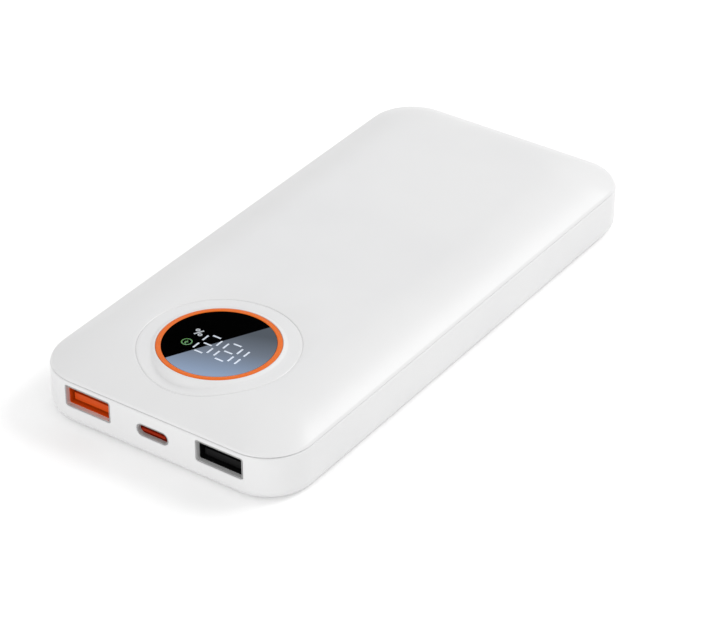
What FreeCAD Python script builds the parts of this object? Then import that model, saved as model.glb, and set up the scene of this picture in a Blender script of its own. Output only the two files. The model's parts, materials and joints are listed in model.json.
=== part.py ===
import FreeCAD, Part
import math
import os
import re
import Sketcher
from FreeCAD import Rotation, Vector

# Power bank: a flat white snap-fit case with a round digit display, three USB sockets on one
# end, two stacked pouch cells, a main board and a side button.
#
# Frame, in millimetres: origin at the centre of the underside, +X across the case, +Y along it
# away from the sockets, +Z up. The sockets open towards -Y and the button is in the -X side.

DIMENSIONS = {
    # case
    "case_width": 72, "case_length": 153, "case_height": 17.4, "corner_radius": 12,
    "parting_height": 12.1, "crown_run": 14.8, "crown_angle": 37.3, "crown_corner": 8,
    "base_fillet": 3, "case_wall": 2, "floor_thickness": 1.6, "cover_wall": 1.7,
    "parting_bevel": 0.2, "floor_fillet": 0.8,
    # lip and snaps between the two case halves
    "lip_gap": 0.1, "lip_thickness": 1, "lip_depth": 1.8, "lip_notch_width": 56,
    "snap_width": 6, "snap_height": 0.7, "snap_reach": 0.5, "snap_drop": 1.5, "snap_play": 0.15,
    "snap_pitch": 30, "root_overlap": 0.5, "pilot_spare": 0.2, "sliver": 0.01, "cut_margin": 1,
    "fence_sheet": 1, "fence_height": 2.2, "fence_gap": 1.2, "fence_front_gap": 1.6,
    # sockets
    "socket_spacing": 18.8, "socket_recess": 0.1, "socket_play": 0.1, "shell_sheet": 0.25,
    "usb_a_level": 8, "usb_a_width": 13, "usb_a_height": 5.6, "usb_a_depth": 14,
    "usb_a_corner": 0.6, "usb_a_block": 3.5, "usb_a_tongue_width": 11.1,
    "usb_a_tongue_thickness": 1.84, "usb_a_tongue_start": 2.1, "usb_a_tongue_gap": 0.62,
    "usb_a_lining_start": 1.1, "usb_a_lining_sheet": 0.17,
    "usb_a_contact_width": 1, "usb_a_contact_setback": 1, "usb_a_tongue_corner": 0.25,
    "contact_sheet": 0.2, "insulator_play": 0.03,
    "usb_c_level": 7.15, "usb_c_width": 8.94, "usb_c_height": 3.2, "usb_c_depth": 7.4,
    "usb_c_block": 1.6, "usb_c_tongue_width": 6.7, "usb_c_tongue_thickness": 0.7,
    "usb_c_tongue_start": 0.5, "usb_c_tongue_corner": 0.15, "usb_c_contact_width": 0.25,
    "usb_c_contact_pitch": 0.5, "usb_c_contact_sheet": 0.06, "usb_c_contact_setback": 0.4,
    "usb_c_sheet": 0.2, "usb_c_lining_start": 1.1, "usb_c_lining_sheet": 0.08,
    # display
    "display_setback": 25.5, "display_height": 17.9, "collar_crest": 15.2, "collar_drop": 0.06,
    "collar_angle": 24, "collar_depth": 2.2, "ring_outer": 14.7, "ring_inner": 13.42,
    "ring_band": 1.1, "ring_skirt": 13.95, "ring_lip": 12.4, "ring_depth": 3.1, "ring_edge": 0.25,
    "press_gap": 0.05, "lens_thickness": 1.4, "lens_recess": 0.1, "window_depth": 0.4,
    "boss_radius": 16.2,
    "segment_length": 2.25, "segment_stroke": 0.46, "digit_half_width": 2,
    "digit_half_height": 3.55, "digit_pitch": 5.9, "digit_middle": 3.9, "digit_shift": 1.7,
    "icon_across": 6.6, "percent_shift": 1.04, "percent_dot": 0.57, "percent_hole": 0.19,
    "percent_half_width": 0.78, "percent_half_height": 0.65, "percent_bar": 2.6, "charge_shift": 3.6,
    "charge_ring": 1.35, "charge_stroke": 0.3, "charge_bolt": 0.85,
    "well_margin": 0.3, "well_radius": 12.3, "light_length": 1.6, "light_width": 0.8,
    "light_height": 0.6,
    # display board
    "display_board_width": 44, "display_board_length": 28, "display_board_sheet": 0.8,
    "display_board_top": 12.9, "display_board_corner": 2, "display_post": 2.2,
    "display_screw_offset": 19.5, "header_setback": 38.2, "header_pins": 8, "header_pitch": 2.54,
    "header_strip_width": 2.5, "header_pin_side": 0.6,
    # main board and what is on it
    "board_width": 64, "board_length": 40.4, "board_sheet": 1.2, "board_top": 5.2,
    "board_front_gap": 0.5, "board_corner": 9, "post_radius": 2.4, "post_x": 28.5,
    "post_front": 12.5, "post_rear": 39, "screw_shank": 0.95, "screw_hole": 1.05,
    "screw_head": 1.9, "screw_head_height": 1.2, "screw_reach": 2.4, "screw_recess": 0.5,
    "screw_slot": 0.4, "board_hole": 1.15, "can_radius": 3.1, "can_height": 5.7, "core_side": 10.4,
    "core_height": 4, "core_edge": 1.2,
    # button and side-push switch
    "button_level": 6.9, "button_length": 9, "button_height": 2.8, "button_play": 0.15,
    "button_inset": 0.05, "button_flange_length": 11.4, "button_flange_height": 4.6,
    "button_flange_sheet": 0.8, "button_dish": 0.2, "stem_length": 3,
    "stem_height": 1.6, "switch_front": 31.6, "switch_depth": 3.5, "switch_length": 6.2,
    "switch_height": 3.4, "plunger_length": 2.6, "plunger_height": 1.3, "plunger_play": 0.1,
    "plunger_out": 1.1, "plunger_in": 1.2, "dome_radius": 0.7, "dome_sheet": 0.1,
    "switch_frame_sheet": 0.15, "button_flange_corner": 0.8, "button_flange_gap": 0.05,
    "dome_room": 0.6,
    # cells
    "cell_width": 57, "cell_length": 92, "cell_thickness": 5.8, "cell_front": -26.5,
    "cell_corner": 1.5, "cell_fillet": 1.2, "pad_sheet": 0.3, "terrace_width": 50,
    "terrace_length": 3.5, "terrace_sheet": 0.4, "tab_width": 6, "tab_sheet": 0.15,
    "tab_offset": 13, "tab_end": 33.3, "strip_sheet": 0.15, "strip_foot": 2.5, "strip_overlap": 0.5,
    "foam_width": 38, "foam_length": 76, "sheet_thickness": 0.2, "sheet_length": 7,
    "pad_margin": 4,
}

doc = FreeCAD.newDocument("PowerBank")
sheet = doc.addObject("Spreadsheet::Sheet", "Dims")
NODES = []


def fill_sheet():
    """Writes every driving dimension into the sheet under its own name."""
    for row, (alias, number) in enumerate(DIMENSIONS.items(), 1):
        sheet.set(f"A{row}", alias)
        sheet.set(f"B{row}", str(number))
        sheet.setAlias(f"B{row}", alias)
    doc.recompute()


def value(expression):
    """The number that an expression in the sheet's names has now."""
    result = sheet.evalExpression(str(expression))
    return float(getattr(result, "Value", result))


def bind(thing, prop, expression):
    """Ties one property of an object to an expression in the sheet's names."""
    named = re.sub(r"[a-z_]+", lambda m: "Dims." + m[0] if m[0] in DIMENSIONS else m[0], str(expression))
    thing.setExpression(prop, named)


def node(label, thing):
    """Marks a finished sub-part, which is written under this name."""
    thing.Label = label
    NODES.append(thing)
    return thing


# Places that several sub-parts share, as expressions in the sheet's names.
PORT_FACE = "(-case_length / 2)"
DISPLAY_Y = "(display_setback - case_length / 2)"
BOARD_FRONT = "(case_wall + board_front_gap - case_length / 2)"
BOARD_UNDER = "(board_top - board_sheet)"
SOCKET_FACE = "(socket_recess - case_length / 2)"
COVER_UNDER = "(case_height - cover_wall)"
LENS_UNDER = "(display_height - lens_recess - lens_thickness)"
WINDOW_UNDER = "(display_height - lens_recess - window_depth)"
DIGIT_Y = f"({DISPLAY_Y} - digit_shift)"
CELL_Y = "(cell_front + cell_length / 2)"
LOWER_CELL = "(floor_thickness + pad_sheet)"
UPPER_CELL = "(floor_thickness + 2 * pad_sheet + cell_thickness)"
BOARD_POSTS = [(x, f"(post_{end} - case_length / 2)")
               for x in ("post_x", "-post_x") for end in ("front", "rear")]
USB_A_CONTACTS = (-3.5, -1, 1, 3.5)
USB_C_CONTACTS = 12
CROWN_STEPS = 6
PERCENT_LEAN = 28


# ---- Part primitives and booleans ---------------------------------------------------------


def box(name, x, y, z, across, along, up):
    """A box centred on x and y, standing on z."""
    thing = doc.addObject("Part::Box", name)
    bind(thing, "Length", across)
    bind(thing, "Width", along)
    bind(thing, "Height", up)
    bind(thing, "Placement.Base.x", f"({x}) - ({across}) / 2")
    bind(thing, "Placement.Base.y", f"({y}) - ({along}) / 2")
    bind(thing, "Placement.Base.z", z)
    return thing


def cylinder(name, x, y, z, radius, height, tilt=None):
    """A cylinder standing on (x, y, z), upright unless a rotation is given."""
    thing = doc.addObject("Part::Cylinder", name)
    if tilt:
        thing.Placement = FreeCAD.Placement(Vector(), tilt)
    bind(thing, "Radius", radius)
    bind(thing, "Height", height)
    for axis, place in zip("xyz", (x, y, z)):
        bind(thing, "Placement.Base." + axis, place)
    return thing


def fuse(name, things):
    thing = doc.addObject("Part::MultiFuse", name)
    thing.Shapes = things
    return thing


def cut(name, base, tools):
    thing = doc.addObject("Part::Cut", name)
    thing.Base = base
    thing.Tool = fuse(name + "_tools", tools) if len(tools) > 1 else tools[0]
    return thing


# ---- Sketches and features of a body ------------------------------------------------------


def new_body(label):
    return node(label, doc.addObject("PartDesign::Body", label))


def new_sketch(body, name, role, offset):
    """A sketch on one of the body's own planes, moved along that plane's normal."""
    sketch = body.newObject("Sketcher::SketchObject", f"{body.Name}_{name}")
    plane = next(feature for feature in body.Origin.OriginFeatures if feature.Role == role)
    sketch.AttachmentSupport = [(plane, "")]
    sketch.MapMode = "FlatFace"
    bind(sketch, ".AttachmentOffset.Base.z", offset)
    return sketch


def dimension(sketch, kind, *where):
    """Adds one dimension, whose last argument is an expression, and ties it to the sheet."""
    *where, expression = where
    index = sketch.addConstraint(Sketcher.Constraint(kind, *where, value(expression)))
    bind(sketch, f"Constraints[{index}]", expression)


def add_lines(sketch, corners):
    """Adds a closed chain of lines, joined end to end, and returns the first line's index."""
    first = sketch.GeometryCount
    for start, end in zip(corners, corners[1:] + corners[:1]):
        sketch.addGeometry(Part.LineSegment(Vector(*start, 0), Vector(*end, 0)))
    for step in range(len(corners)):
        following = first + (step + 1) % len(corners)
        sketch.addConstraint(Sketcher.Constraint("Coincident", first + step, 2, following, 1))
    return first


def add_rectangle(sketch, x, y, across, along):
    """A rectangle centred on (x, y)."""
    left, right = f"({x}) - ({across}) / 2", f"({x}) + ({across}) / 2"
    low, high = f"({y}) - ({along}) / 2", f"({y}) + ({along}) / 2"
    corners = [(value(u), value(v)) for u, v in ((left, low), (right, low), (right, high), (left, high))]
    first = add_lines(sketch, corners)
    for step, kind in enumerate(("Horizontal", "Vertical", "Horizontal", "Vertical")):
        sketch.addConstraint(Sketcher.Constraint(kind, first + step))
    dimension(sketch, "DistanceX", -1, 1, first, 1, left)
    dimension(sketch, "DistanceY", -1, 1, first, 1, low)
    dimension(sketch, "DistanceX", -1, 1, first + 2, 1, right)
    dimension(sketch, "DistanceY", -1, 1, first + 2, 1, high)


def add_rounded(sketch, x, y, across, along, radius):
    """A rectangle centred on (x, y) with four equal round corners."""
    left, right = f"({x}) - ({across}) / 2", f"({x}) + ({across}) / 2"
    low, high = f"({y}) - ({along}) / 2", f"({y}) + ({along}) / 2"
    x0, x1, y0, y1, bend = (value(item) for item in (left, right, low, high, radius))
    first = sketch.GeometryCount
    sides = [
        ((x0 + bend, y0), (x1 - bend, y0)),
        ((x1, y0 + bend), (x1, y1 - bend)),
        ((x1 - bend, y1), (x0 + bend, y1)),
        ((x0, y1 - bend), (x0, y0 + bend)),
    ]
    for start, end in sides:
        sketch.addGeometry(Part.LineSegment(Vector(*start, 0), Vector(*end, 0)))
    centres = [(x1 - bend, y0 + bend), (x1 - bend, y1 - bend), (x0 + bend, y1 - bend), (x0 + bend, y0 + bend)]
    for quarter, centre in enumerate(centres):
        circle = Part.Circle(Vector(*centre, 0), Vector(0, 0, 1), bend)
        turn = math.radians(90 * quarter)
        sketch.addGeometry(Part.ArcOfCircle(circle, turn - math.pi / 2, turn))
    for side in range(4):
        arc = first + 4 + side
        sketch.addConstraint(Sketcher.Constraint("Tangent", first + side, 2, arc, 1))
        sketch.addConstraint(Sketcher.Constraint("Tangent", arc, 2, first + (side + 1) % 4, 1))
        sketch.addConstraint(Sketcher.Constraint("Vertical" if side % 2 else "Horizontal", first + side))
        if side:
            sketch.addConstraint(Sketcher.Constraint("Equal", first + 4, arc))
    dimension(sketch, "Radius", first + 4, radius)
    dimension(sketch, "DistanceX", -1, 1, first + 3, 1, left)
    dimension(sketch, "DistanceY", -1, 1, first, 1, low)
    dimension(sketch, "DistanceX", -1, 1, first + 1, 1, right)
    dimension(sketch, "DistanceY", -1, 1, first + 2, 1, high)


def add_circle(sketch, x, y, radius):
    index = sketch.addGeometry(Part.Circle(Vector(value(x), value(y), 0), Vector(0, 0, 1), value(radius)))
    dimension(sketch, "Radius", index, radius)
    dimension(sketch, "DistanceX", -1, 1, index, 3, x)
    dimension(sketch, "DistanceY", -1, 1, index, 3, y)


def add_outline(sketch, points):
    """A closed outline of straight lines through points given as expressions."""
    first = add_lines(sketch, [(value(x), value(y)) for x, y in points])
    for step, (x, y) in enumerate(points):
        dimension(sketch, "DistanceX", -1, 1, first + step, 1, x)
        dimension(sketch, "DistanceY", -1, 1, first + step, 1, y)


def extrude(body, sketch, length, removes=False, against=False):
    """A Pad, or a Pocket when it removes: both run along the sketch's normal unless against."""
    before = body.Shape.Volume if removes else 0
    feature = body.newObject("PartDesign::Pocket" if removes else "PartDesign::Pad", sketch.Name + "_run")
    feature.Profile = sketch
    feature.Reversed = removes != against
    bind(feature, "Length", length)
    doc.recompute()
    if removes and feature.Shape.Volume >= before:
        raise RuntimeError(f"{feature.Name} cuts nothing")
    return feature


def turn(body, sketch, removes=False):
    """A full turn of the sketch about its own vertical axis."""
    kind = "PartDesign::Groove" if removes else "PartDesign::Revolution"
    feature = body.newObject(kind, sketch.Name + "_turn")
    feature.Profile = sketch
    feature.ReferenceAxis = (sketch, ["V_Axis"])
    feature.Angle = 360
    doc.recompute()
    return feature


def edges_where(body, test):
    """Names of the edges of the body so far whose bounding box passes the test."""
    return [f"Edge{index}" for index, edge in enumerate(body.Shape.Edges, 1) if test(edge.BoundBox)]


def dress(body, kind, name, size, edges):
    """A Fillet or Chamfer on the named edges of the body so far."""
    base = body.Tip
    feature = body.newObject("PartDesign::" + kind, f"{body.Name}_{name}")
    feature.Base = (base, edges)
    bind(feature, "Radius" if kind == "Fillet" else "Size", size)
    doc.recompute()
    return feature


# ---- Case ---------------------------------------------------------------------------------


def add_case_section(sketch, inset, radius):
    """The case's outline seen from above, moved in by the inset."""
    add_rounded(sketch, 0, 0, f"case_width - 2 * ({inset})", f"case_length - 2 * ({inset})", radius)


def crown(body, name, edge_inset, top, angle, edge_corner, removes=False):
    """The crowned cover: sections up a circular arc that ends tangent to the flat top."""
    run = f"(crown_run - {edge_inset})"
    sections = []
    for step in range(CROWN_STEPS + 1):
        lean = f"({angle}) * {CROWN_STEPS - step} / {CROWN_STEPS}"
        share = f"(1 - sin({lean}) / sin({angle}))"
        height = f"{top} - {run} * (1 - cos({lean})) / sin({angle})"
        sketch = new_sketch(body, f"{name}_{step}", "XY_Plane", height)
        corner = f"{edge_corner} - ({edge_corner} - crown_corner) * {share}"
        add_case_section(sketch, f"({edge_inset} + {run} * {share})", corner)
        sections.append(sketch)
    feature = body.newObject("PartDesign::SubtractiveLoft" if removes else "PartDesign::AdditiveLoft",
                             f"{body.Name}_{name}")
    feature.Profile = sections[0]
    feature.Sections = sections[1:]
    doc.recompute()
    return feature


def snap_places():
    """The side and the distance along it of every snap on the two long sides."""
    places = []
    for side in (1, -1):
        for step in (-1.5, -0.5, 0.5, 1.5):
            places.append((side, f"{step} * snap_pitch"))
    return places


def make_top_cover():
    body = new_body("top_cover")
    lip_outer = "(case_wall + lip_gap)"
    lip_inner = "(case_wall + lip_gap + lip_thickness)"
    crown_base = "(case_height - crown_run * tan(crown_angle / 2))"
    band = new_sketch(body, "band", "XY_Plane", "parting_height")
    add_case_section(band, 0, "corner_radius")
    extrude(body, band, f"{crown_base} - parting_height")
    crown(body, "crown", "0", "case_height", "crown_angle", "corner_radius")
    under_angle = f"2 * atan(({COVER_UNDER} - parting_height) / (crown_run - {lip_inner}))"
    crown(body, "hollow", lip_inner, COVER_UNDER, under_angle, f"(corner_radius - {lip_inner})", removes=True)

    lip = new_sketch(body, "lip", "XY_Plane", "parting_height")
    for inset in (lip_outer, lip_inner):
        add_case_section(lip, inset, f"corner_radius - {inset}")
    extrude(body, lip, "lip_depth", against=True)
    notch = new_sketch(body, "notch", "XY_Plane", "parting_height")
    add_rectangle(notch, 0, PORT_FACE, "lip_notch_width", "4 * case_wall")
    extrude(body, notch, "lip_depth", removes=True, against=True)
    snaps = new_sketch(body, "snaps", "XY_Plane", "parting_height - snap_drop")
    for side, along in snap_places():
        middle = f"{side} * (case_width / 2 - {lip_outer})"
        add_rectangle(snaps, middle, along, "2 * snap_reach", "snap_width")
    extrude(body, snaps, "snap_height")

    boss = new_sketch(body, "boss", "XY_Plane", "display_height - ring_depth")
    add_circle(boss, 0, DISPLAY_Y, "boss_radius")
    extrude(body, boss, f"{COVER_UNDER} + root_overlap - (display_height - ring_depth)")
    posts = new_sketch(body, "posts", "XY_Plane", "display_board_top")
    for side in (1, -1):
        add_circle(posts, f"{side} * display_screw_offset", DISPLAY_Y, "display_post")
    extrude(body, posts, f"{COVER_UNDER} - display_board_top + root_overlap")
    pilots = new_sketch(body, "pilots", "XY_Plane", "display_board_top")
    for side in (1, -1):
        add_circle(pilots, f"{side} * display_screw_offset", DISPLAY_Y, "screw_hole")
    extrude(body, pilots, "screw_reach + pilot_spare", removes=True)

    seat = "(ring_outer + press_gap)"
    throat = "(ring_skirt + press_gap)"
    crest = "(display_height - collar_drop)"
    ledge = "(display_height - ring_band)"
    collar = new_sketch(body, "collar", "XZ_Plane", f"-{DISPLAY_Y}")
    add_outline(collar, [
        (seat, crest), (seat, f"{crest} - collar_depth"),
        ("collar_crest + collar_depth / tan(collar_angle)", f"{crest} - collar_depth"),
        ("collar_crest", crest),
    ])
    turn(body, collar)
    well = new_sketch(body, "display_well", "XZ_Plane", f"-{DISPLAY_Y}")
    add_outline(well, [
        (0, "display_height + cut_margin"), (seat, "display_height + cut_margin"),
        (seat, ledge), (throat, ledge),
        (throat, "display_height - ring_depth - cut_margin"), (0, "display_height - ring_depth - cut_margin"),
    ])
    turn(body, well, removes=True)
    rim = edges_where(body, lambda b: b.ZLength < 1e-6 and abs(b.ZMax - value("parting_height")) < 1e-6
                      and outermost(b))
    dress(body, "Chamfer", "bevel", "parting_bevel", rim)


def outermost(bounds):
    """True for an edge on the outline of the whole case."""
    half_x, half_y = value("case_width / 2"), value("case_length / 2")
    side = abs(max(bounds.XMax, -bounds.XMin) - half_x) < 1e-4 and bounds.XLength < 1e-4
    end = abs(max(bounds.YMax, -bounds.YMin) - half_y) < 1e-4 and bounds.YLength < 1e-4
    corner = (abs(max(bounds.XMax, -bounds.XMin) - half_x) < 1e-4
              and abs(max(bounds.YMax, -bounds.YMin) - half_y) < 1e-4)
    return side or end or corner


def make_bottom_shell():
    body = new_body("bottom_shell")
    outside = new_sketch(body, "outside", "XY_Plane", 0)
    add_case_section(outside, 0, "corner_radius")
    extrude(body, outside, "parting_height")
    dress(body, "Fillet", "base", "base_fillet", edges_where(body, lambda b: b.ZMax < 1e-6))
    inside = new_sketch(body, "inside", "XY_Plane", "floor_thickness")
    add_case_section(inside, "case_wall", "corner_radius - case_wall")
    extrude(body, inside, "parting_height", removes=True)
    floor = value("floor_thickness")
    dress(body, "Fillet", "floor", "floor_fillet",
          edges_where(body, lambda b: b.ZLength < 1e-6 and abs(b.ZMax - floor) < 1e-6))

    posts = new_sketch(body, "posts", "XY_Plane", "floor_thickness")
    for x, y in BOARD_POSTS:
        add_circle(posts, x, y, "post_radius")
    extrude(body, posts, f"{BOARD_UNDER} - floor_thickness")
    pilots = new_sketch(body, "pilots", "XY_Plane", BOARD_UNDER)
    for x, y in BOARD_POSTS:
        add_circle(pilots, x, y, "screw_hole")
    extrude(body, pilots, "screw_reach + pilot_spare", removes=True, against=True)

    fences = new_sketch(body, "fences", "XY_Plane", "floor_thickness")
    add_rectangle(fences, 0, "cell_front - terrace_length - fence_front_gap", "terrace_width", "fence_sheet")
    add_rectangle(fences, 0, "cell_front + cell_length + fence_gap", "terrace_width", "fence_sheet")
    for side in (1, -1):
        add_rectangle(fences, f"{side} * (cell_width / 2 + fence_gap)", CELL_Y, "fence_sheet",
                      "cell_length * 0.8")
    extrude(body, fences, "fence_height")

    openings = new_sketch(body, "openings", "XZ_Plane", "case_length / 2 + cut_margin")
    for side in (1, -1):
        add_rounded(openings, f"{side} * socket_spacing", "usb_a_level", "usb_a_width + 2 * socket_play",
                    "usb_a_height + 2 * socket_play", "usb_a_corner + socket_play")
    add_rounded(openings, 0, "usb_c_level", "usb_c_width + 2 * socket_play",
                "usb_c_height + 2 * socket_play", "usb_c_height / 2 + socket_play - sliver")
    extrude(body, openings, "case_wall + 2 * cut_margin", removes=True, against=True)

    slot = new_sketch(body, "button_slot", "YZ_Plane", "-case_width / 2 - cut_margin")
    add_rounded(slot, DISPLAY_Y, "button_level", "button_length + 2 * button_play",
                "button_height + 2 * button_play", "button_height / 2 + button_play - sliver")
    extrude(body, slot, "case_wall + 2 * cut_margin", removes=True)

    catches = new_sketch(body, "catches", "XY_Plane", "parting_height - snap_drop - snap_play")
    for side, along in snap_places():
        middle = f"{side} * (case_width / 2 - case_wall)"
        add_rectangle(catches, middle, along, "2 * snap_reach", "snap_width + 2 * snap_play")
    extrude(body, catches, "snap_height + 2 * snap_play", removes=True)
    rim = edges_where(body, lambda b: b.ZLength < 1e-6 and abs(b.ZMax - value("parting_height")) < 1e-6
                      and outermost(b))
    dress(body, "Chamfer", "bevel", "parting_bevel", rim)


# ---- Display ------------------------------------------------------------------------------


def make_display_ring():
    body = new_body("display_ring")
    profile = new_sketch(body, "profile", "XZ_Plane", f"-{DISPLAY_Y}")
    add_outline(profile, [
        ("ring_inner", "display_height"), ("ring_outer", "display_height"),
        ("ring_outer", "display_height - ring_band"), ("ring_skirt", "display_height - ring_band"),
        ("ring_skirt", "display_height - ring_depth"), ("ring_lip", "display_height - ring_depth"),
        ("ring_lip", f"{LENS_UNDER} - press_gap"), ("ring_inner", f"{LENS_UNDER} - press_gap"),
    ])
    turn(body, profile)
    top = value("display_height")
    dress(body, "Fillet", "edge", "ring_edge",
          edges_where(body, lambda b: b.ZLength < 1e-6 and abs(b.ZMax - top) < 1e-6))


def digit_segments():
    """Centre and direction of every lit segment: 188, read from the end away from the sockets."""
    segments = []
    for digit in (0, 1):
        centre = f"(digit_middle - {digit} * digit_pitch)"
        for row in (-1, 0, 1):
            segments.append((centre, f"({DIGIT_Y} + {row} * digit_half_height)", "across"))
        for side in (-1, 1):
            for row in (-1, 1):
                segments.append((f"({centre} + {side} * digit_half_width)",
                                 f"({DIGIT_Y} + {row} * digit_half_height / 2)", "along"))
    first = "(digit_middle + digit_pitch - digit_half_width)"
    for row in (-1, 1):
        segments.append((first, f"({DIGIT_Y} + {row} * digit_half_height / 2)", "along"))
    return segments


def segment_boxes(name, base, height, grow="0"):
    """One box on each lit segment, larger all round by grow."""
    boxes = []
    long_side, short_side = f"(segment_length + 2 * {grow})", f"(segment_stroke + 2 * {grow})"
    for index, (x, y, direction) in enumerate(digit_segments()):
        sizes = (long_side, short_side) if direction == "across" else (short_side, long_side)
        boxes.append(box(f"{name}_{index}", x, y, base, *sizes, height))
    return boxes


def percent_pieces(name, base, height):
    """A percent sign: two small rings with a slash between them."""
    x, y = "(-icon_across)", f"({DISPLAY_Y} + percent_shift)"
    pieces = []
    for side in (1, -1):
        place = (f"{x} + {side} * percent_half_width", f"{y} - {side} * percent_half_height")
        disc = cylinder(f"{name}_disc_{side + 1}", *place, base, "percent_dot", height)
        hole = cylinder(f"{name}_hole_{side + 1}", *place, base, "percent_hole", height)
        pieces.append(cut(f"{name}_dot_{side + 1}", disc, [hole]))
    slash = doc.addObject("Part::Box", name + "_slash")
    bind(slash, "Length", "segment_stroke")
    bind(slash, "Width", "percent_bar")
    bind(slash, "Height", height)
    lean = math.radians(PERCENT_LEAN)
    slash.Placement = FreeCAD.Placement(Vector(), Rotation(Vector(0, 0, 1), -PERCENT_LEAN))
    half_x, half_y = "segment_stroke / 2", "percent_bar / 2"
    cos, sin = math.cos(lean), math.sin(lean)
    bind(slash, "Placement.Base.x", f"{x} - ({half_x}) * {cos} - ({half_y}) * {sin}")
    bind(slash, "Placement.Base.y", f"{y} + ({half_x}) * {sin} - ({half_y}) * {cos}")
    bind(slash, "Placement.Base.z", base)
    return pieces + [slash]


def charge_pieces(name, base, height):
    """A ring with a lightning bolt inside it."""
    x, y = "(-icon_across)", f"({DISPLAY_Y} - charge_shift)"
    disc = cylinder(name + "_disc", x, y, base, "charge_ring", height)
    hole = cylinder(name + "_hole", x, y, base, "charge_ring - charge_stroke", height)
    bolt = doc.addObject("Part::Feature", name + "_bolt")
    size = value("charge_bolt")
    outline = [(-0.25, -1), (0.35, -1), (0.05, -0.2), (0.55, -0.2), (-0.3, 1), (-0.05, 0.15), (-0.5, 0.15)]
    corners = [Vector(size * u, size * v, 0) for u, v in outline]
    bolt.Shape = Part.Face(Part.makePolygon(corners + corners[:1])).extrude(Vector(0, 0, value(height)))
    bolt.Placement.Base = Vector(value(x), value(y), value(base))
    return [cut(name + "_ring", disc, [hole]), bolt]


def make_display_lens():
    disc = cylinder("lens_disc", 0, DISPLAY_Y, LENS_UNDER, "ring_inner - press_gap", "lens_thickness")
    openings = segment_boxes("lens_slot", WINDOW_UNDER, "window_depth")
    openings += percent_pieces("lens_percent", WINDOW_UNDER, "window_depth")
    openings += charge_pieces("lens_charge", WINDOW_UNDER, "window_depth")
    node("display_lens", cut("display_lens", disc, openings))


def make_windows():
    """The coloured inlays that fill the pockets in the lens flush."""
    node("digit_windows", fuse("digit_windows", segment_boxes("digit", WINDOW_UNDER, "window_depth")))
    node("percent_window", fuse("percent_window", percent_pieces("percent", WINDOW_UNDER, "window_depth")))
    node("charge_window", fuse("charge_window", charge_pieces("charge", WINDOW_UNDER, "window_depth")))


def icon_places():
    return [("(-icon_across)", f"({DISPLAY_Y} + percent_shift)"),
            ("(-icon_across)", f"({DISPLAY_Y} - charge_shift)")]


def make_light_wells():
    """The white block whose wells carry each light up to its own window."""
    height = f"({LENS_UNDER} - display_board_top - press_gap)"
    block = cylinder("well_block", 0, DISPLAY_Y, "display_board_top", "well_radius", height)
    wells = segment_boxes("well", "display_board_top", height, "well_margin")
    for index, (x, y) in enumerate(icon_places()):
        wells.append(cylinder(f"icon_well_{index}", x, y, "display_board_top", "charge_ring", height))
    node("light_wells", cut("light_wells", block, wells))


def make_display_lights():
    lights = []
    for index, (x, y, direction) in enumerate(digit_segments()):
        across = direction == "across"
        sizes = ("light_length", "light_width") if across else ("light_width", "light_length")
        lights.append(box(f"light_{index}", x, y, "display_board_top", *sizes, "light_height"))
    for index, (x, y) in enumerate(icon_places()):
        lights.append(box(f"icon_light_{index}", x, y, "display_board_top", "light_length", "light_width",
                          "light_height"))
    node("display_lights", fuse("display_lights", lights))


def make_display_board():
    body = new_body("display_board")
    under = "display_board_top - display_board_sheet"
    outline = new_sketch(body, "outline", "XY_Plane", under)
    add_rounded(outline, 0, DISPLAY_Y, "display_board_width", "display_board_length", "display_board_corner")
    for side in (1, -1):
        add_circle(outline, f"{side} * display_screw_offset", DISPLAY_Y, "board_hole")
    extrude(body, outline, "display_board_sheet")


def screw(name, x, y, head_under, grip, points_down):
    """A pan-head screw with a cross recess. It passes through the grip, then into plastic."""
    parts = []
    reach = f"({grip} + screw_reach)"
    sign = -1 if points_down else 1
    shank_base = f"{head_under} - {reach}" if points_down else head_under
    head_base = head_under if points_down else f"{head_under} - screw_head_height"
    parts.append(cylinder(name + "_shank", x, y, shank_base, "screw_shank", reach))
    parts.append(cylinder(name + "_head", x, y, head_base, "screw_head", "screw_head_height"))
    recess_base = f"{head_under} - {sign} * (screw_head_height - screw_recess / 2) - screw_recess / 2"
    arm_sizes = (("screw_head * 1.1", "screw_slot"), ("screw_slot", "screw_head * 1.1"))
    arms = [box(f"{name}_arm_{arm}", x, y, recess_base, *sizes, "screw_recess")
            for arm, sizes in enumerate(arm_sizes)]
    return cut(name, fuse(name + "_blank", parts), arms)


def make_screws():
    board = [screw(f"board_screw_{index}", x, y, "board_top", "board_sheet", True)
             for index, (x, y) in enumerate(BOARD_POSTS)]
    node("board_screws", fuse("board_screws", board))
    under = "(display_board_top - display_board_sheet)"
    display = [screw(f"display_screw_{side + 1}", f"{side} * display_screw_offset", DISPLAY_Y, under,
                     "display_board_sheet", False) for side in (1, -1)]
    node("display_screws", fuse("display_screws", display))


def make_header():
    """The row of pins that joins the display board to the main board."""
    y = f"({PORT_FACE} + header_setback)"
    length = "header_pins * header_pitch"
    under = "(display_board_top - display_board_sheet)"
    pins = []
    for index in range(int(value("header_pins"))):
        x = f"({index} - (header_pins - 1) / 2) * header_pitch"
        pins.append(box(f"pin_{index}", x, y, "board_top", "header_pin_side", "header_pin_side",
                        f"{under} - board_top"))
    strip = box("header_bar", 0, y, "board_top", length, "header_strip_width", "header_strip_width")
    channels = [box(f"channel_{index}", f"({index} - (header_pins - 1) / 2) * header_pitch", y, "board_top",
                    "header_pin_side", "header_pin_side", "header_strip_width")
                for index in range(int(value("header_pins")))]
    node("header_pins", fuse("header_pins", pins))
    node("header_strip", cut("header_strip", strip, channels))


# ---- Sockets ------------------------------------------------------------------------------


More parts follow.
